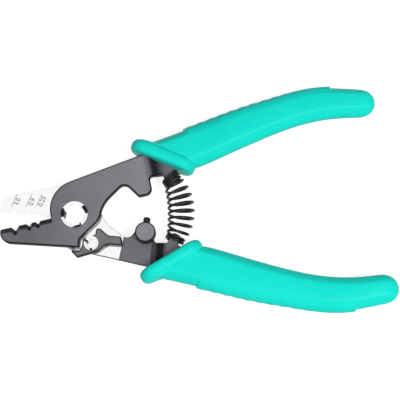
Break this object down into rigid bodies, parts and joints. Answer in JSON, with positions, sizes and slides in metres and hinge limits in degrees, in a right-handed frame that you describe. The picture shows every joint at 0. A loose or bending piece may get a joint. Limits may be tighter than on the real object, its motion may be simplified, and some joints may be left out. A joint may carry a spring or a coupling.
{
  "type": "fibre stripper",
  "caption": "Hand stripper for optical fibre: crossed steel halves on a hollow pivot, notched jaws, coil return spring, stop screw on a post, locking latch and moulded grips.",
  "frame": {"origin": "on the pivot's axis, at the plane where the two blades' flat faces meet", "axes": "+X along the tool's line of symmetry from the jaws to the handles, +Y towards the upper grip, +Z along the pivot's axis out through the front half"},
  "size_m": [0.1649, 0.099, 0.0154],
  "materials": {
    "black_steel": "black oxide, satin",
    "polished_steel": "ground and polished jaw and hub, black oxide on the arm",
    "bright_plate": "bright nickel plate",
    "spring_steel": "blackened spring wire",
    "grip_plastic": "soft vinyl with a satin sheen"
  },
  "bodies": {
    "rear_half": {"rear_plate": "polished_steel", "lower_grip": "grip_plastic", "pivot_sleeve": "bright_plate", "latch_sleeve": "bright_plate", "stop_post": "black_steel", "stop_screw": "black_steel", "return_spring": "spring_steel"},
    "front_half": {"front_plate": "black_steel", "upper_grip": "grip_plastic"},
    "latch": {"latch": "black_steel"}
  },
  "joints": [
    {"name": "handle_pivot", "type": "hinge", "parent": "rear_half", "child": "front_half", "pos_m": [0, 0, 0], "axis": [0, 0, 1], "range_deg": [-17.5, 0], "stiffness_Nm_per_rad": 3.6, "deforming": ["return_spring"]},
    {"name": "latch_pivot", "type": "hinge", "parent": "rear_half", "child": "latch", "pos_m": [0.00644, -0.01273, 0], "axis": [0, 0, 1], "range_deg": [-10, 0]}
  ]
}
